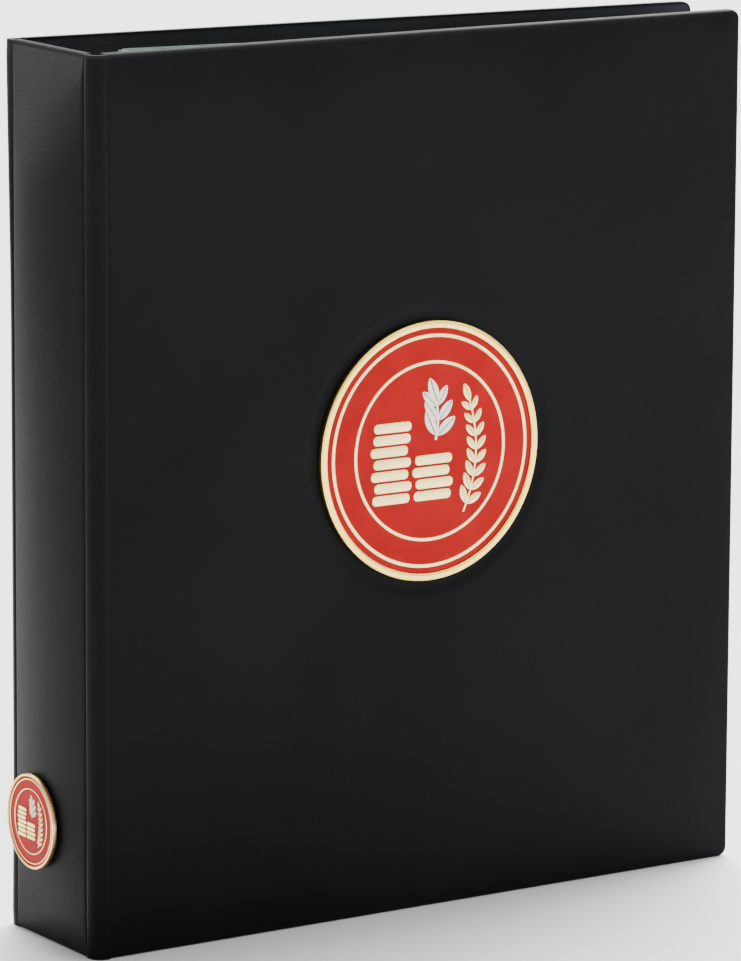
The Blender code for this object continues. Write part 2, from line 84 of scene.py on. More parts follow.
# ---- padding ------------------------------------------------------------------------
CORNER_RADIUS = 3.0 * MM
EDGE_CURL = 1.2 * MM
PILLOW = 0.65 * MM
PILLOW_REACH = 20 * MM
HINGE_DIP = 0.42
FAR = 200 * MM
SKIN = 0.5 * MM
STRIP = 1.8 * MM
STRIP_SINK = 0.28 * MM
STRIP_CURL = 0.25 * MM
STRIP_CURL_REACH = 0.8 * MM

# ---- medallions ---------------------------------------------------------------------
FRONT_BADGE = (119.5 * MM, 0.2 * MM, 142.6 * MM)
FRONT_BADGE_RADIUS = 40 * MM
RECESS_DEPTH = 0.5 * MM
SPINE_BADGE_RADIUS = 14.5 * MM

# ---- rings and leaves ---------------------------------------------------------------
RING_RADIUS = 15 * MM
WIRE_RADIUS = 1.4 * MM
RING_PITCH = 65 * MM
RING_COUNT = 4
RING_ARC = radians(130)
LEAF_EDGE = 2.6 * MM
LEAF_WIDTH = 200 * MM
LEAF_DROOP = radians(0.8)
PAGE_HEIGHT = 263.5 * MM
MARGIN = 26 * MM
POCKET_COLUMNS, POCKET_ROWS = 4, 5


# ---- working in edit mode -----------------------------------------------------------
def only(*pieces):
    """Selects these pieces and nothing else."""
    bpy.ops.object.select_all(action="DESELECT")
    for piece in pieces:
        piece.select_set(True)
    bpy.context.view_layer.objects.active = pieces[0]


@contextmanager
def shaping(piece, elements="FACE"):
    """Edit mode on one piece. Gives pick(test), which selects the faces, edges or points that pass."""
    only(piece)
    bpy.ops.object.mode_set(mode="EDIT")
    bpy.ops.mesh.select_mode(type=elements)
    bpy.ops.mesh.select_all(action="DESELECT")

    def pick(test):
        mesh = bmesh.from_edit_mesh(piece.data)
        for part in {"VERT": mesh.verts, "EDGE": mesh.edges, "FACE": mesh.faces}[elements]:
            part.select_set(bool(test(part)))
        mesh.select_flush_mode()
        bmesh.update_edit_mesh(piece.data)

    yield pick
    bpy.ops.object.mode_set(mode="OBJECT")


def named(name):
    """Names the primitive that was just added and settles its place into its mesh."""
    piece = bpy.context.object
    piece.name = piece.data.name = name
    only(piece)
    bpy.ops.object.transform_apply(location=True, rotation=True, scale=True)
    return piece


def block(name, low, high):
    low, high = Vector(low), Vector(high)
    bpy.ops.object.select_all(action="DESELECT")
    bpy.ops.mesh.primitive_cube_add(size=1, location=(low + high) / 2, scale=high - low)
    return named(name)


def panel(name, columns, rows):
    """A unit sheet in pad space with its outer face towards -y."""
    bpy.ops.object.select_all(action="DESELECT")
    bpy.ops.mesh.primitive_grid_add(x_subdivisions=columns, y_subdivisions=rows, size=1,
                                    location=(0.5, 0, 0.5), rotation=(pi / 2, 0, 0))
    return named(name)


def move_points(piece, place):
    for point in piece.data.vertices:
        point.co = place(point.co)


def modify(piece, kind, **settings):
    only(piece)
    modifier = piece.modifiers.new(kind.title(), kind)
    for key, value in settings.items():
        setattr(modifier, key, value)
    bpy.ops.object.modifier_apply(modifier=modifier.name)


def face_outwards(piece):
    with shaping(piece):
        bpy.ops.mesh.select_all(action="SELECT")
        bpy.ops.mesh.remove_doubles(threshold=1e-6)
        bpy.ops.mesh.normals_make_consistent(inside=False)


def put(piece, place):
    """Moves a piece's mesh to its place and turns its faces outwards again."""
    piece.data.transform(place)
    face_outwards(piece)


def twin(piece, name, place=Matrix()):
    """A copy with its own mesh."""
    other = piece.copy()
    other.data = piece.data.copy()
    other.name = other.data.name = name
    bpy.context.scene.collection.objects.link(other)
    other.data.transform(place)
    return other


def join(name, pieces):
    only(*pieces)
    bpy.ops.object.join()
    piece = bpy.context.object
    piece.name = piece.data.name = name
    return piece


def settle(piece, body, stands_for, finish, smooth=35):
    """The last steps of every piece: smooth shading, finish, body if it has one, and nodes it stands for."""
    only(piece)
    bpy.ops.object.shade_smooth_by_angle(angle=radians(smooth))
    if finish:
        piece.data.materials.clear()
        piece.data.materials.append(finish)
    if body:
        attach(piece, body)
    if stands_for:
        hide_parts(*stands_for)
    return piece


def turned(name, profile, steps=96, closed=False):
    """A piece turned about the z axis from a line of (radius, height) points."""
    bpy.ops.object.select_all(action="DESELECT")
    bpy.ops.mesh.primitive_plane_add(size=1)
    piece = named(name)
    with shaping(piece, "VERT"):
        bpy.ops.mesh.select_all(action="SELECT")
        bpy.ops.mesh.merge(type="CENTER")
        bpy.ops.transform.translate(value=(profile[0][0], 0, profile[0][1]))
        line = list(profile[1:]) + ([profile[0]] if closed else [])
        for (radius, height), (next_radius, next_height) in zip(profile, line):
            bpy.ops.mesh.extrude_vertices_move(
                TRANSFORM_OT_translate={"value": (next_radius - radius, 0, next_height - height)})
        bpy.ops.mesh.select_all(action="SELECT")
        bpy.ops.mesh.remove_doubles(threshold=1e-6)
        bpy.ops.mesh.select_all(action="SELECT")
        bpy.ops.mesh.spin(steps=steps, angle=2 * pi, center=(0, 0, 0), axis=(0, 0, 1))
    face_outwards(piece)
    return piece


# ---- shader maths -------------------------------------------------------------------
class Socket:
    """One output of a finish's nodes. Arithmetic on it adds Math nodes."""

    def __init__(self, finish, output):
        self.finish, self.output = finish, output

    def maths(self, operation, first, second):
        return self.finish.node("ShaderNodeMath", {0: first, 1: second}, operation=operation)

    def __add__(self, other):
        return self.maths("ADD", self, other)

    def __sub__(self, other):
        return self.maths("SUBTRACT", self, other)

    def __mul__(self, other):
        return self.maths("MULTIPLY", self, other)

    def __truediv__(self, other):
        return self.maths("DIVIDE", self, other)

    def __radd__(self, other):
        return self.maths("ADD", other, self)

    def __rsub__(self, other):
        return self.maths("SUBTRACT", other, self)

    def __rmul__(self, other):
        return self.maths("MULTIPLY", other, self)

    def __gt__(self, other):
        return self.maths("GREATER_THAN", self, other)

    def __lt__(self, other):
        return self.maths("LESS_THAN", self, other)


class Finish:
    """A material built node by node. Its keywords are the constant sockets of its shader."""

    def __init__(self, name, colour=(0.8, 0.8, 0.8), **constants):
        self.material = bpy.data.materials.new(name)
        self.material.use_nodes = True
        self.tree = self.material.node_tree
        self.shader = self.tree.nodes["Principled BSDF"]
        self.material.diffuse_color = (*colour, 1)
        self.shader.inputs["Base Color"].default_value = (*colour, 1)
        for key, value in constants.items():
            self.shader.inputs[key.replace("_", " ").title().replace("Ior", "IOR")].default_value = value
        self.place = self.node("ShaderNodeTexCoord", output="Object")

    def node(self, kind, sockets=None, output=0, **settings):
        node = self.tree.nodes.new(kind)
        stops = settings.pop("stops", None)
        for key, value in settings.items():
            setattr(node, key, value)
        if stops:
            ramp = node.color_ramp.elements
            for element, (position, colour) in zip((ramp[0], ramp[1]), (stops[0], stops[-1])):
                element.position, element.color = position, (*colour, 1)
            for position, colour in stops[1:-1]:
                ramp.new(position).color = (*colour, 1)
        for key, value in (sockets or {}).items():
            self.feed(node.inputs[key], value)
        return Socket(self, node.outputs[output])

    def feed(self, target, value):
        if isinstance(value, Socket):
            self.tree.links.new(value.output, target)
        elif hasattr(value, "__len__") and len(value) == 3 and target.type == "RGBA":
            target.default_value = (*value, 1)
        else:
            target.default_value = value

    def noise(self, scale, detail=2.0, roughness=0.5, place=None):
        return self.node("ShaderNodeTexNoise", {"Vector": place or self.place, "Scale": scale,
                                                "Detail": detail, "Roughness": roughness})

    def cells(self, scale, feature="F1"):
        return self.node("ShaderNodeTexVoronoi", {"Vector": self.place, "Scale": scale},
                         output="Distance", feature=feature)

    def stretched(self, scale):
        return self.node("ShaderNodeMapping", {"Vector": self.place, "Scale": scale})

    def axis(self, letter, turn=None):
        place = self.place
        if turn:
            place = self.node("ShaderNodeMapping", {"Vector": place, "Rotation": turn})
        return self.node("ShaderNodeSeparateXYZ", {0: place}, output=letter)

    def mix(self, factor, first, second):
        return self.node("ShaderNodeMix", {0: factor, 6: first, 7: second}, output=2, data_type="RGBA")

    def smooth(self, value, low, high):
        return self.node("ShaderNodeMapRange", {"Value": value, "From Min": low, "From Max": high},
                         interpolation_type="SMOOTHSTEP")

    def bump(self, height, distance, strength=1.0, normal=None):
        sockets = {"Height": height, "Distance": distance, "Strength": strength}
        if normal:
            sockets["Normal"] = normal
        return self.node("ShaderNodeBump", sockets)

    def wear(self, **surface):
        """Feeds the shader's sockets that vary over the surface, and gives the finished material."""
        for key, value in surface.items():
            self.feed(self.shader.inputs[key.replace("_", " ").title()], value)
        return self.material


# ---- finishes -----------------------------------------------------------------------
# Painted highlight: a lighter colour along the vinyl's top edge, standing in for the light that edge catches.
PAINTED_HIGHLIGHT_COLOUR = (0.019, 0.0195, 0.0205)
HIGHLIGHT_START, HIGHLIGHT_FULL = 1.7 * MM, 0.5 * MM


def leatherette(name, shade, roughness, grain):
    """Embossed vinyl: pebble grain, faint creasing, an uneven sheen and a painted highlight, a lighter band
    along the top edge.
    """
    vinyl = Finish(name, shade, specular_ior_level=0.035)
    pebbles = vinyl.cells(1500 / grain, "SMOOTH_F1")
    creases = vinyl.noise(260 / grain, 4.0, 0.6)
    cloud = vinyl.noise(14, 3.0)
    tone = vinyl.smooth(cloud + 0.35 * creases, 0.45, 0.95)
    darker, lighter = tuple(0.82 * c for c in shade), tuple(1.2 * c for c in shade)
    sheen = roughness - 0.05 + 0.09 * cloud + 0.06 * pebbles
    padding = vinyl.bump(cloud, 1.2 * MM, 0.25)
    height, along = vinyl.axis("Z"), vinyl.axis("X")
    # Painted highlight mask: strongest just under the top edge and fading away along x; it also roughens the
    # vinyl there.
    highlight_band = vinyl.smooth(height, HEIGHT - HIGHLIGHT_START, HEIGHT - HIGHLIGHT_FULL)
    painted_highlight_mask = highlight_band * (0.75 - 2.2 * along) * (0.6 + 0.5 * creases)
    colour = vinyl.mix(painted_highlight_mask, vinyl.mix(tone, darker, lighter), PAINTED_HIGHLIGHT_COLOUR)
    return vinyl.wear(base_color=colour, roughness=sheen + 0.35 * painted_highlight_mask,
                      normal=vinyl.bump(pebbles + 0.5 * creases, 0.12 * MM * grain, 0.35, padding))


def fibre(name, dark, light, size, roughness=0.92, relief=0.2):
    """Pressed or foamed stuff: speckled in two tones."""
    stuff = Finish(name, dark, specular_ior_level=0.2)
    specks = stuff.noise(size, 6.0, 0.7)
    threads = stuff.noise(60, 5.0, 0.65, stuff.stretched((1.0, 14.0, 6.0)))
    tone = stuff.smooth(0.6 * specks + 0.4 * threads, 0.36, 0.62)
    return stuff.wear(base_color=stuff.mix(tone, dark, light), roughness=roughness - 0.08 * specks,
                      normal=stuff.bump(specks, relief * MM, 0.4))


def metal(name, shade, roughness, brushed):
    """Plated metal with fine scratches along one direction and faint handling marks."""
    plate = Finish(name, shade, metallic=1.0)
    scratches = plate.noise(900, 3.0, 0.6, plate.stretched(brushed))
    marks = plate.smooth(plate.noise(70, 4.0, 0.6), 0.5, 0.8)
    duller = tuple(0.86 * c for c in shade)
    return plate.wear(base_color=plate.mix(0.6 * marks, shade, duller),
                      roughness=roughness + 0.10 * scratches + 0.12 * marks - 0.05,
                      normal=plate.bump(scratches, 0.02 * MM, 0.25))


def enamel(name, shade, deep):
    """Hard enamel: a glossy coat with a little flow and depth to its colour."""
    glass = Finish(name, shade, specular_ior_level=0.04, coat_weight=0.03, coat_roughness=0.12)
    flow = glass.noise(120, 3.0, 0.55)
    grit = glass.noise(1600, 2.0)
    return glass.wear(base_color=glass.mix(glass.smooth(flow, 0.35, 0.7), deep, shade),
                      roughness=0.28 + 0.12 * grit, normal=glass.bump(flow, 0.1 * MM, 0.2))


def page_film(name):
    """Clear pocket film: nearly see-through in the pockets, less clear over the margin, a tan bound edge."""
    film = Finish(name, (0.62, 0.68, 0.62), specular_ior_level=0.4)
    turn = (0, -LEAF_DROOP, 0)
    across = film.axis("X", turn) - (RING_AXIS_X * cos(LEAF_DROOP) - MID_Z * sin(LEAF_DROOP))
    bound = film.smooth(across, LEAF_EDGE + 2.4 * MM, LEAF_EDGE + 1.8 * MM)
    margin = film.smooth(across, LEAF_EDGE + MARGIN + 1 * MM, LEAF_EDGE + MARGIN)
    haze = film.noise(45, 3.0)
    clear = film.mix(film.smooth(haze, 0.3, 0.7), (0.50, 0.58, 0.53), (0.62, 0.68, 0.64))
    return film.wear(base_color=film.mix(bound, clear, (0.33, 0.31, 0.26)),
                     roughness=0.16 + 0.18 * haze + 0.3 * bound,
                     alpha=film.node("ShaderNodeMath", {0: 0.30 + 0.05 * haze + 0.5 * bound + 0.2 * margin,
                                                        1: 1.0}, operation="MINIMUM"),
                     normal=film.bump(haze, 0.8 * MM, 0.2))


def studio_floor(name):
    floor = Finish(name, (0.82, 0.82, 0.82), specular_ior_level=0.1)
    soft = floor.noise(3, 2.0)
    return floor.wear(base_color=floor.mix(soft, (0.81, 0.81, 0.815), (0.84, 0.84, 0.84)),
                      roughness=0.75 + 0.1 * soft)


BLACK_VINYL = leatherette("black_vinyl", (0.0052, 0.0053, 0.0060), 0.38, 1.0)
LINING_VINYL = leatherette("lining_vinyl", (0.036, 0.036, 0.041), 0.55, 1.6)
PAD_FOAM = fibre("pad_foam", (0.28, 0.28, 0.27), (0.42, 0.42, 0.40), 700)
GREYBOARD = fibre("grey_board", (0.22, 0.20, 0.18), (0.36, 0.33, 0.29), 420)
GREEN_CARD = fibre("green_card", (0.085, 0.150, 0.115), (0.150, 0.215, 0.180), 520, relief=0.05)
GOLD_PLATE = metal("gold_plate", (1.0, 0.72, 0.16), 0.26, (1, 1, 8))
ROSE_GOLD = metal("rose_gold_plate", (0.98, 0.60, 0.24), 0.28, (1, 1, 8))
PALE_GOLD = metal("pale_gold_relief", (1.0, 0.80, 0.34), 0.38, (6, 1, 1))
NICKEL = metal("nickel_plate", (0.78, 0.78, 0.77), 0.18, (1, 1, 0.05))
ZINC = metal("zinc_plate", (0.58, 0.60, 0.61), 0.34, (1, 1, 0.08))
RED_ENAMEL = enamel("red_enamel", (0.37, 0.0056, 0.0058), (0.33, 0.0042, 0.0042))
WHITE_ENAMEL = enamel("white_enamel", (0.99, 0.94, 0.80), (0.94, 0.88, 0.73))
CLEAR_FILM = page_film("clear_film")


# ---- padded panels ------------------------------------------------------------------
def crowded(share, length, crowd=0.93):
    """A grid line's place: lines crowd towards both ends, where the padding curls over."""
    return length * (share - crowd * sin(2 * pi * share) / (2 * pi))


def inset_from_edge(x, z, start, end, corner):
    """How far a point lies inside the rounded outline of a panel that runs from start to end."""
    middle, half = (start + end) / 2, (end - start) / 2
    out_x, out_z = abs(x - middle) - (half - corner), abs(z - MID_Z) - (MID_Z - corner)
    return max(corner - hypot(max(out_x, 0), max(out_z, 0)) - min(max(out_x, out_z), 0), 0)


def padding_depth(inset):
    """How far the outer face drops near an edge: a soft pillow, then a tight curl over the board."""
    pillow = PILLOW * (1 - min(inset / PILLOW_REACH, 1)) ** 2
    lean = max(EDGE_CURL - inset, 0)
    return pillow + EDGE_CURL - sqrt(EDGE_CURL**2 - lean**2)


def padded_sheet(name, width, columns, rows, hinged, crown=lambda x, z: 0.0):
    """The outer face of a padded panel. Free edges curl over, and hinged ones only dip into the crease."""
    sheet = panel(name, columns, rows)
    start = -FAR if "near" in hinged else 0
    end = width + FAR if "far" in hinged else width

    def shaped(point):
        x, z = crowded(point.x, width), crowded(point.z, HEIGHT)
        out_x, out_z = x - (width - CORNER_RADIUS), abs(z - MID_Z) - (MID_Z - CORNER_RADIUS)
        if "far" not in hinged and out_x > 0 and out_z > 0:
            pull = max(out_x, out_z) / hypot(out_x, out_z)
            x += (pull - 1) * out_x
            z += (pull - 1) * out_z * (1 if z > MID_Z else -1)
        free = padding_depth(inset_from_edge(x, z, start, end, CORNER_RADIUS))
        creases = [x] * ("near" in hinged) + [width - x] * ("far" in hinged)
        dip = HINGE_DIP * max([padding_depth(max(crease, 0)) for crease in creases])
        return Vector((x, max(free, dip) - crown(x, z), z))

    move_points(sheet, shaped)
    return sheet


def add_walls(sheet, depth):
    """Carries the sheet's border straight in to the lining."""
    with shaping(sheet, "EDGE") as pick:
        pick(lambda edge: edge.is_boundary)
        bpy.ops.mesh.extrude_edges_move(TRANSFORM_OT_translate={"value": (0, depth, 0)})
        bpy.ops.transform.resize(value=(1, 0, 1), center_override=(0, depth, 0))


def press_recess(sheet, centre_x, centre_z):
    """Refines the flat middle, draws its grid round into rings and presses a shallow round recess."""
    field, square, circle = 62 * MM, 56 * MM, 47 * MM
    lip, floor = 45.4 * MM, 42.2 * MM

    def within(point, reach):
        return max(abs(point.co.x - centre_x), abs(point.co.z - centre_z)) < reach

    with shaping(sheet) as pick:
        pick(lambda face: all(within(point, field) for point in face.verts))
        bpy.ops.mesh.subdivide(number_cuts=4)

    def pressed(point):
        x, z = point.x - centre_x, point.z - centre_z
        reach = max(abs(x), abs(z))
        if reach >= square or reach < 0.1 * MM:
            return point if reach >= square else Vector((point.x, RECESS_DEPTH, point.z))
        blend = min((square - reach) / (square - circle), 1)
        pull = 1 + blend * (reach / hypot(x, z) - 1)
        x, z = x * pull, z * pull
        slope = min(max((lip - hypot(x, z)) / (lip - floor), 0), 1)
        return Vector((centre_x + x, point.y + RECESS_DEPTH * slope**2 * (3 - 2 * slope), centre_z + z))

    move_points(sheet, pressed)


def cover_place(side):
    """From pad space to a cover's place. The back cover's panel is mirrored."""
    flip = Matrix.Diagonal((1, -side, 1, 1))
    hinge = Matrix.Translation((CASE_X, side * HALF_DEPTH, 0)) @ Matrix.Rotation(-side * TAPER, 4, "Z")
    return hinge @ flip


def make_cover_skin(side_name, side):
    sheet = padded_sheet(f"{side_name}_padded_skin", COVER_WIDTH - HINGE_LEG, 84, 96, ["near"])
    if side < 0:
        press_recess(sheet, FRONT_BADGE[0] - HINGE_LEG, FRONT_BADGE[2])
    add_walls(sheet, COVER_THICKNESS)
    put(sheet, cover_place(side) @ Matrix.Translation((HINGE_LEG, 0, 0)))
    modify(sheet, "SOLIDIFY", thickness=SKIN, offset=-1, use_even_offset=False)
    settle(sheet, f"{side_name}_cover", [f"{side_name}_skin"], BLACK_VINYL, 50)


def spine_crown(x, z):
    """How far the spine stands proud: crowned across, dying away to straight top and bottom edges."""
    across = (x - SPINE_HALF) / SPINE_HALF
    end = min(min(z, HEIGHT - z) / CROWN_FADE, 1)
    return SPINE_CROWN * (1 - across**2) * end**2 * (3 - 2 * end)


SPINE_PLACE = Matrix(((0, 1, 0, CASE_X), (-1, 0, 0, SPINE_HALF), (0, 0, 1, 0), (0, 0, 0, 1)))


def make_spine_foam():
    """The pad behind the spine's skin, thickest at mid height."""
    inner, end, side = 0.5 * MM, 9 * MM, SPINE_HALF - 14 * MM
    pad = panel("spine_foam_pad", 14, 40)

    def shaped(point):
        x = side + point.x * 2 * (SPINE_HALF - side)
        z = end + point.z * (HEIGHT - 2 * end)
        return Vector((x, min(SKIN + 0.1 * MM - spine_crown(x, z), inner - 0.1 * MM), z))

    move_points(pad, shaped)
    with shaping(pad):
        bpy.ops.mesh.select_all(action="SELECT")
        bpy.ops.mesh.extrude_region_move()
        bpy.ops.transform.resize(value=(1, 0, 1), center_override=(0, inner, 0))
    put(pad, SPINE_PLACE)
    settle(pad, "spine", ["spine_foam"], PAD_FOAM)


def make_spine_skin():
    sheet = padded_sheet("spine_padded_skin", 2 * SPINE_HALF, 34, 96, ["near", "far"], spine_crown)
    add_walls(sheet, SPINE_THICKNESS)
    put(sheet, SPINE_PLACE)
    modify(sheet, "SOLIDIFY", thickness=SKIN, offset=-1, use_even_offset=False)
    settle(sheet, "spine", ["spine_skin"], BLACK_VINYL, 50)


def make_hinge_strip(side_name, side):
    """The welded strip rolled round the corner, squarest at the back, tucked under both panels."""
    reach, tuck, trim = HINGE_LEG, 0.35 * MM, 0.25 * MM
    strip = panel(f"{side_name}_rolled_strip", 18, 60)

    def rolled(point):
        z = trim + point.z * (HEIGHT - 2 * trim)
        near_top = max(1 - (HEIGHT - z) / (90 * MM), 0)
        near_foot = max(1 - z / (60 * MM), 0)
        squareness = 4 * near_top**2 + 1.5 * near_foot**2 if side > 0 else 0.6 * near_top**2
        power = 2 / (2.6 + squareness)
        angle = point.x * pi / 2
        out, along = reach * cos(angle) ** power, reach * sin(angle) ** power
        x, y = reach - out, HALF_DEPTH - reach + along
        sink = STRIP_SINK + STRIP_CURL * max(1 - min(z, HEIGHT - z) / STRIP_CURL_REACH, 0)
        dive = max(HINGE_DIP * padding_depth(0) + 0.1 * MM - sink, 0)
        if point.x < 0.01:
            x, y = x + dive, y - tuck
        if point.x > 0.99:
            x, y = x + tuck, y - dive
        return Vector((x + sink, side * (y - sink), z))

    move_points(strip, rolled)
    put(strip, Matrix.Translation((CASE_X, 0, 0)))
    modify(strip, "SOLIDIFY", thickness=STRIP, offset=-1, use_even_offset=False)
    face_outwards(strip)
    piece = settle(strip, None, [f"{side_name}_hinge_strip"], BLACK_VINYL, 50)
    side * (HALF_DEPTH - HINGE_LEG)
    CASE_X + HINGE_LEG
    side * HALF_DEPTH
    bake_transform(piece)


def make_lining(side_name, side):
    """The inner sheet, with the channel that the welding bar leaves round its border."""
    rim = 0.6 * MM
    lining = block(f"{side_name}_welded_lining", (HINGE_LEG + rim, COVER_THICKNESS - LINING, rim),
                   (COVER_WIDTH - rim, COVER_THICKNESS, HEIGHT - rim))
    with shaping(lining) as pick:
        pick(lambda face: face.normal.y > 0.9)
        for border, sink in ((2.6 * MM, 0.0), (0.4 * MM, -0.14 * MM), (1.2 * MM, 0.0), (0.4 * MM, 0.14 * MM)):
            bpy.ops.mesh.inset(thickness=border, depth=sink)
    with shaping(lining, "EDGE") as pick:
        pick(lambda edge: abs(edge.verts[0].co.y - edge.verts[1].co.y) > 0.3 * MM)
        bpy.ops.mesh.bevel(offset=2.2 * MM, segments=4, affect="EDGES")
    put(lining, cover_place(side))
    settle(lining, f"{side_name}_cover", [f"{side_name}_lining"], LINING_VINYL)


# ---- medallions ---------------------------------------------------------------------
def raised_ring(name, inner, outer, low, high):
    soft = (high - low) * 0.4
    line = [(inner, low), (inner, high - soft), (inner + soft, high), (outer - soft, high),
            (outer, high - soft), (outer, low)]
    return turned(name, line, closed=True)


def leaf(name, length, width, low, high):
    """One laurel leaf lying along x, pointed at both ends with a ridge along it."""
    bpy.ops.object.select_all(action="DESELECT")
    bpy.ops.mesh.primitive_circle_add(vertices=20, radius=1, fill_type="NGON")
    piece = named(name)

    def pointed(point):
        return Vector((point.x * length / 2, point.y * (1 - 0.45 * abs(point.x) ** 3) * width / 2, low))

    move_points(piece, pointed)
    with shaping(piece) as pick:
        pick(lambda face: True)
        bpy.ops.mesh.extrude_region_move(TRANSFORM_OT_translate={"value": (0, 0, (high - low) * 0.5)})
        bpy.ops.mesh.inset(thickness=width * 0.22, depth=(high - low) * 0.5)
    face_outwards(piece)
    return piece


def sprig(name, start, end, bow, leaves, length, low, high):
    """A bowed stem with leaves in pairs along it and one at its tip."""
    start, end = Vector(start), Vector(end)
    side = Vector((end.y - start.y, start.x - end.x)).normalized()

    def along(share):
        return start.lerp(end, share) + side * bow * 4 * share * (1 - share)

    def heading(share):
        step = along(min(share + 0.02, 1)) - along(max(share - 0.02, 0))
        return atan2(step.y, step.x)

    pieces = []
    pattern = leaf(name, length, length * 0.42, low, high)
    for number in range(leaves):
        share = 0.06 + 0.9 * number / leaves
        at = along(share)
        for hand in (-1, 1):
            angle = heading(share) + hand * radians(38)
            size = 1.0 - 0.3 * share
            reach = length * 0.58 * size
            place = (Matrix.Translation((at.x + reach * cos(angle), at.y + reach * sin(angle), 0))
                     @ Matrix.Rotation(angle, 4, "Z") @ Matrix.Diagonal((size, size, 1, 1)))
            pieces.append(twin(pattern, f"{name}_leaf", place))
    tip = Matrix.Translation((end.x, end.y, 0)) @ Matrix.Rotation(heading(1), 4, "Z")
    pieces.append(twin(pattern, f"{name}_tip", tip))
    bpy.data.objects.remove(pattern)
    stem = block(f"{name}_stem", (0, -1, low), (1, 1, low + (high - low) * 0.7))
    with shaping(stem):
        for cut in range(1, 12):
            bpy.ops.mesh.select_all(action="SELECT")
            bpy.ops.mesh.bisect(plane_co=(cut / 12, 0, 0), plane_no=(1, 0, 0))
    half = length * 0.045

    def bowed(point):
        at, angle = along(point.x), heading(point.x)
        return Vector((at.x - point.y * half * sin(angle), at.y + point.y * half * cos(angle), point.z))

    move_points(stem, bowed)
    pieces.append(stem)
    return join(name, pieces)


def coin_stack(name, x, y, count, width, low, high):
    """Plain coins piled on edge-on, each a rounded bar, with a narrow gap between them."""
    pitch = width * 0.27
    bar = block(name, (-width / 2, -pitch * 0.40, low), (width / 2, pitch * 0.40, high))
    with shaping(bar, "EDGE") as pick:
        pick(lambda edge: abs(edge.verts[0].co.z - edge.verts[1].co.z) > (high - low) / 2)
        bpy.ops.mesh.bevel(offset=pitch * 0.36, segments=5, affect="EDGES")
    with shaping(bar) as pick:
        pick(lambda face: face.normal.z > 0.9)
        bpy.ops.mesh.inset(thickness=pitch * 0.10, depth=(high - low) * 0.3)
    shifts = (0.0, 0.05, -0.04, 0.03, -0.05, 0.02, 0.04)
    coins = [twin(bar, f"{name}_coin", Matrix.Translation((x + shifts[i] * width, y + i * pitch, 0)))
             for i in range(count)]
    bpy.data.objects.remove(bar)
    return join(name, coins)


def make_medallion(name, radius, place, body, rim_finish):
    """A cast plate, red enamel in it, two thin rings and an emblem of coin stacks and two sprigs."""
    top, face = 1.6 * MM, 1.1 * MM
    inner = radius * 0.942
    plate = turned(f"{name}_cast_plate", [
        (0, 0), (radius - 0.2 * MM, 0), (radius, 0.25 * MM), (radius, top - 0.40 * MM),
        (radius - 0.12 * MM, top - 0.14 * MM), (radius - 0.4 * MM, top), (inner + 0.35 * MM, top),
        (inner + 0.1 * MM, top - 0.12 * MM), (inner, top - 0.35 * MM), (inner, 0.6 * MM), (0, 0.6 * MM)])
    put(plate, place)
    settle(plate, body, [f"{name}_plate"], rim_finish)

    edge = inner - 0.05 * MM
    fill = turned(f"{name}_enamel_fill", [
        (0, 0.7 * MM), (edge, 0.7 * MM), (edge, face - 0.06 * MM), (edge - 0.3 * MM, face - 0.02 * MM),
        (edge - 0.9 * MM, face), (radius * 0.5, face + 0.02 * MM), (0, face + 0.03 * MM)])
    put(fill, place)
    settle(fill, body, [f"{name}_enamel"], RED_ENAMEL)

    low, high = face - 0.02 * MM, face + 0.24 * MM
    ring_lines = ((1, radius * 0.885, radius * 0.014), (2, radius * 0.682, radius * 0.013))
    rings = [raised_ring(f"{name}_ring_{number}", middle - half, middle + half, low, high)
             for number, middle, half in ring_lines]
    stacks = [coin_stack(f"{name}_tall_stack", -0.36 * radius, -0.34 * radius, 7, 0.34 * radius, low, high),
              coin_stack(f"{name}_short_stack", 0.02 * radius, -0.34 * radius, 4, 0.34 * radius, low, high)]
    gold = join(f"{name}_gold_relief", rings + stacks)
    put(gold, place)
    settle(gold, body, [f"{name}_relief"], PALE_GOLD)
    white = sprig(f"{name}_white_sprig", (0.05 * radius, 0.08 * radius), (0.03 * radius, 0.46 * radius),
                  0.03 * radius, 3, 0.21 * radius, low, high)
    put(white, place)
    settle(white, body, None, WHITE_ENAMEL)
    branch = sprig(f"{name}_gold_sprig", (0.31 * radius, -0.50 * radius), (0.34 * radius, 0.42 * radius),
                   0.10 * radius, 8, 0.15 * radius, low, high)
    put(branch, place)
    settle(branch, body, None, PALE_GOLD)


# ---- ring mechanism -----------------------------------------------------------------
def refined(node, name, body, finish, chamfer=0.0):
    """A smooth, lightly chamfered copy of a mechanism part."""
    piece = twin(frame["nodes"][node], name)
    piece.parent = None
    for key in list(piece.keys()):
        del piece[key]
    face_outwards(piece)
    with shaping(piece):
        bpy.ops.mesh.select_all(action="SELECT")
        bpy.ops.mesh.dissolve_limited(angle_limit=radians(0.5))
    if chamfer:
        modify(piece, "BEVEL", width=chamfer, segments=2, limit_method="ANGLE", angle_limit=radians(40))
    return settle(piece, body, [node], finish)


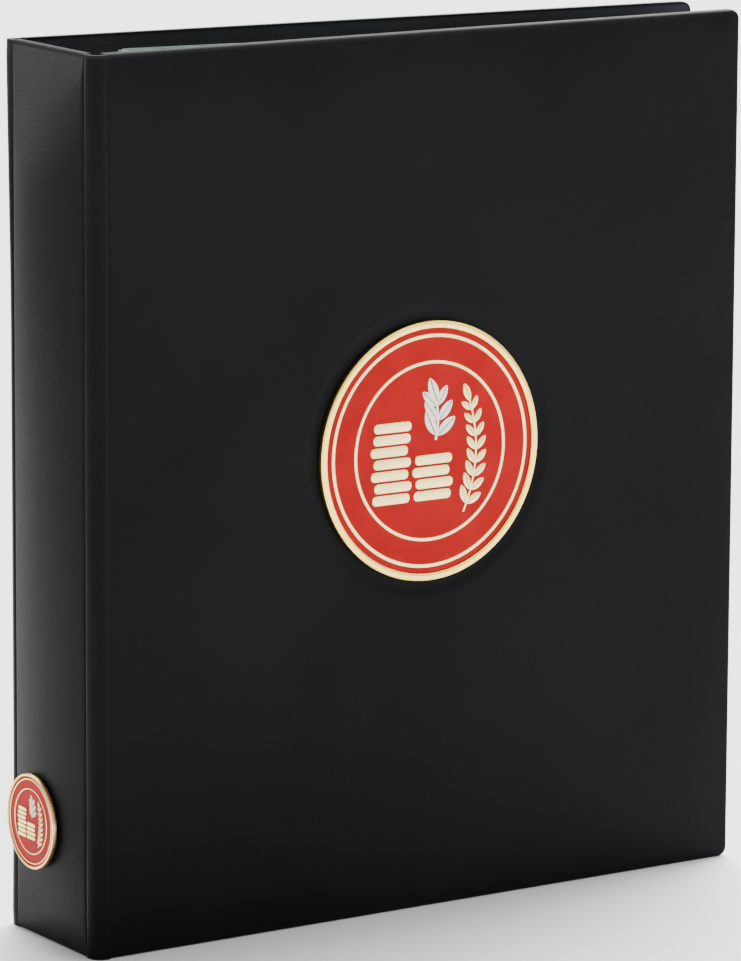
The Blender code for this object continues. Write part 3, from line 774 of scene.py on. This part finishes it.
def make_half_rings():
    """Round wire bent about the ring axis, with a foot riveted through its plate."""
    tip = 0.02
    for side_name, side in (("front", -1), ("back", 1)):
        low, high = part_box(f"{side_name}_half_ring_1")
        height = (low.z + high.z) / 2
        bpy.ops.object.select_all(action="DESELECT")
        bpy.ops.mesh.primitive_circle_add(
            vertices=20, radius=WIRE_RADIUS, fill_type="NGON", rotation=(pi / 2, 0, side * tip),
            location=(RING_AXIS_X + RING_RADIUS * cos(tip), side * RING_RADIUS * sin(tip), height))
        wire = named(f"{side_name}_round_ring_1")
        with shaping(wire):
            bpy.ops.mesh.select_all(action="SELECT")
            bpy.ops.mesh.spin(steps=28, angle=-side * (RING_ARC - tip), center=(RING_AXIS_X, 0, height),
                              axis=(0, 0, 1))
        with shaping(wire) as pick:
            pick(lambda face: len(face.verts) > 4 and face.calc_center_median().x < RING_AXIS_X)
            foot = (-2.2 * MM, -side * 1.1 * MM, 0)
            bpy.ops.mesh.extrude_region_move(TRANSFORM_OT_translate={"value": foot})
        face_outwards(wire)
        settle(wire, f"{side_name}_ring_set", [f"{side_name}_half_ring_1"], NICKEL, 60)
        for number in range(2, RING_COUNT + 1):
            copy = twin(wire, f"{side_name}_round_ring_{number}",
                        Matrix.Translation((0, 0, (number - 1) * RING_PITCH)))
            copy.parent = None
            settle(copy, f"{side_name}_ring_set", [f"{side_name}_half_ring_{number}"],
                   NICKEL, 60)


def make_mechanism():
    refined("ring_canopy", "pressed_canopy", "spine", NICKEL, 0.12 * MM)
    for number in (1, 2):
        refined(f"canopy_rivet_{number}", f"domed_rivet_{number}", "spine", ZINC)
    for side_name in ("front", "back"):
        refined(f"{side_name}_hinge_plate", f"{side_name}_sprung_plate", f"{side_name}_ring_set",
                ZINC, 0.12 * MM)
    for end in ("lower", "upper"):
        refined(f"{end}_trigger", f"{end}_thumb_lever", f"{end}_trigger", NICKEL, 0.15 * MM)
        refined(f"{end}_trigger_pin", f"{end}_lever_pin", "spine", ZINC)
    make_half_rings()


# ---- coin pages ---------------------------------------------------------------------
def make_page(number):
    """A punched margin and a field of welded pockets, hanging on the rings with the leaf's slight droop."""
    node = f"coin_page_{number}"
    low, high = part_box(node)
    middle = (low.y + high.y) / 2
    droop = (Matrix.Translation((RING_AXIS_X, middle, MID_Z)) @ Matrix.Rotation(LEAF_DROOP, 4, "Y")
             @ Matrix.Translation((0, 0, -MID_Z)))
    fold = droop @ Vector((LEAF_EDGE + MARGIN, 0, MID_Z))
    margin = twin(frame["nodes"][node], f"page_margin_{number}")
    margin.parent = None
    for key in list(margin.keys()):
        del margin[key]
    face_outwards(margin)
    with shaping(margin, "FACE"):
        bpy.ops.mesh.select_all(action="SELECT")
        bpy.ops.mesh.bisect(plane_co=fold, plane_no=droop.to_3x3() @ Vector((1, 0, 0)), clear_outer=True,
                            use_fill=True)
        bpy.ops.mesh.select_all(action="SELECT")
        bpy.ops.transform.resize(value=(1, 0.45, 1), center_override=(0, middle, 0))

    left, right = LEAF_EDGE + MARGIN + 0.02 * MM, LEAF_EDGE + LEAF_WIDTH
    bottom, top = MID_Z - PAGE_HEIGHT / 2, MID_Z + PAGE_HEIGHT / 2
    pockets = block(f"page_pockets_{number}", (left, -0.12 * MM, bottom), (right, 0.12 * MM, top))
    with shaping(pockets, "EDGE") as pick:
        pick(lambda edge: abs(edge.verts[0].co.y - edge.verts[1].co.y) > 0.1 * MM
             and edge.verts[0].co.x > (left + right) / 2)
        bpy.ops.mesh.bevel(offset=4 * MM, segments=4, affect="EDGES")
    with shaping(pockets) as pick:
        for column in range(1, POCKET_COLUMNS):
            bpy.ops.mesh.select_all(action="SELECT")
            bpy.ops.mesh.bisect(plane_co=(left + (right - left) * column / POCKET_COLUMNS, 0, 0),
                                plane_no=(1, 0, 0))
        for row in range(1, POCKET_ROWS):
            bpy.ops.mesh.select_all(action="SELECT")
            bpy.ops.mesh.bisect(plane_co=(0, 0, bottom + (top - bottom) * row / POCKET_ROWS),
                                plane_no=(0, 0, 1))
        pick(lambda face: abs(face.normal.y) > 0.9)
        bpy.ops.mesh.inset(thickness=1.6 * MM, depth=0, use_individual=True)
        bpy.ops.mesh.inset(thickness=0.9 * MM, depth=0.16 * MM, use_individual=True)
        bpy.ops.mesh.inset(thickness=3.0 * MM, depth=0.10 * MM, use_individual=True)
    pockets.data.transform(droop)
    page = join(f"pocket_page_{number}", [pockets, margin])
    with shaping(page):
        bpy.ops.mesh.select_all(action="SELECT")
        bpy.ops.mesh.normals_make_consistent(inside=False)
    settle(page, f"{node}_leaf", [node], CLEAR_FILM)


# ---- studio -------------------------------------------------------------------------
# A low black card behind-left keeps the bright floor out of the upper spine's sheen.
FLAG_PLACE = (-0.44, 0.52, 0.14)
FLAG_SIZE = (0.6, 0.6, 0.13)


def add_light(kind, name, strength, place, turn, hidden=False, **settings):
    bpy.ops.object.light_add(type=kind, location=place, rotation=[radians(angle) for angle in turn])
    lamp = bpy.context.object
    lamp.name = name
    lamp.data.energy = strength
    lamp.visible_camera = not hidden
    for key, value in settings.items():
        setattr(lamp.data, key, value)


def set_studio():
    bpy.ops.object.select_all(action="DESELECT")
    bpy.ops.mesh.primitive_plane_add(size=16)
    floor = named("studio_floor")
    with shaping(floor):
        bpy.ops.mesh.select_all(action="SELECT")
        bpy.ops.mesh.subdivide(number_cuts=4)
    floor.data.materials.append(studio_floor("pale_floor"))

    world = bpy.data.worlds.new("soft_studio")
    bpy.context.scene.world = world
    world.use_nodes = True
    sky = world.node_tree.nodes["Background"]
    sky.inputs["Color"].default_value = (0.96, 0.98, 1.0, 1)
    sky.inputs["Strength"].default_value = 0.8

    bpy.ops.object.select_all(action="DESELECT")
    bpy.ops.mesh.primitive_plane_add(size=1, rotation=(pi / 2, 0, radians(30)))
    flag = named("black_flag")
    with shaping(flag):
        bpy.ops.mesh.select_all(action="SELECT")
        bpy.ops.mesh.subdivide(number_cuts=3)
    flag.data.transform(Matrix.Translation(FLAG_PLACE) @ Matrix.Diagonal((*FLAG_SIZE, 1)))
    flag.data.materials.append(BLACK_VINYL)
    flag.visible_camera = False

    add_light("SUN", "overhead_softbox", 14.0, (0, 0, 3), (-30, 31, 0), angle=radians(60))
    add_light("AREA", "back_left_panel", 8, (-0.75, 1.5, 0.14), (-86, 0, 24), hidden=True,
              shape="RECTANGLE", size=0.5, size_y=0.5)
    add_light("AREA", "front_right_fill", 2.5, (0.38, -0.5, 0.3), (0, 0, 0), hidden=True,
              shape="RECTANGLE", size=0.6, size_y=0.6)

    bpy.ops.object.camera_add(location=(-0.959622, -1.545403, 0.469139),
                              rotation=[radians(angle) for angle in (79.44299, -0.27621, -31.66801)])
    camera = bpy.context.object
    camera.name = "album_camera"
    camera.data.lens, camera.data.sensor_width, camera.data.sensor_fit = 226.4, 36, "AUTO"
    camera.data.clip_start, camera.data.clip_end = 0.05, 60
    bpy.context.scene.camera = camera


# ---- the album ----------------------------------------------------------------------
def dress_kept_nodes():
    """Finishes for the frame's own nodes that stay as they are."""
    kept = {"greyboard": GREYBOARD, "foam": PAD_FOAM, "lining": LINING_VINYL, "green_card": GREEN_CARD}
    names = {f"{panel_name}_board": "greyboard" for panel_name in ("front", "back", "spine")}
    names.update({"front_foam": "foam", "back_foam": "foam"})
    names["spine_lining"] = "lining"
    names.update({f"green_card_{number}": "green_card" for number in range(1, 6)})
    for name, slot in names.items():
        node = frame["nodes"][name]
        node.data.materials.clear()
        node.data.materials.append(kept[slot])


set_studio()
for SIDE_NAME, SIDE in (("front", -1), ("back", 1)):
    make_cover_skin(SIDE_NAME, SIDE)
    make_lining(SIDE_NAME, SIDE)
    make_hinge_strip(SIDE_NAME, SIDE)
make_spine_skin()
make_spine_foam()

ON_COVER = cover_place(-1) @ Matrix.Translation(FRONT_BADGE) @ Matrix.Rotation(pi / 2, 4, "X")
make_medallion("front_badge", FRONT_BADGE_RADIUS, ON_COVER, "front_cover", GOLD_PLATE)
SPINE_LOW, SPINE_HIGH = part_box("spine_badge_plate")
SPINE_MIDDLE = (SPINE_LOW + SPINE_HIGH) / 2
ON_SPINE = Matrix(((0, 0, -1, SPINE_HIGH.x), (-1, 0, 0, SPINE_MIDDLE.y), (0, 1, 0, SPINE_MIDDLE.z),
                   (0, 0, 0, 1)))
make_medallion("spine_badge", SPINE_BADGE_RADIUS, ON_SPINE, "spine", ROSE_GOLD)

make_mechanism()
for NUMBER in range(1, 5):
    make_page(NUMBER)
dress_kept_nodes()
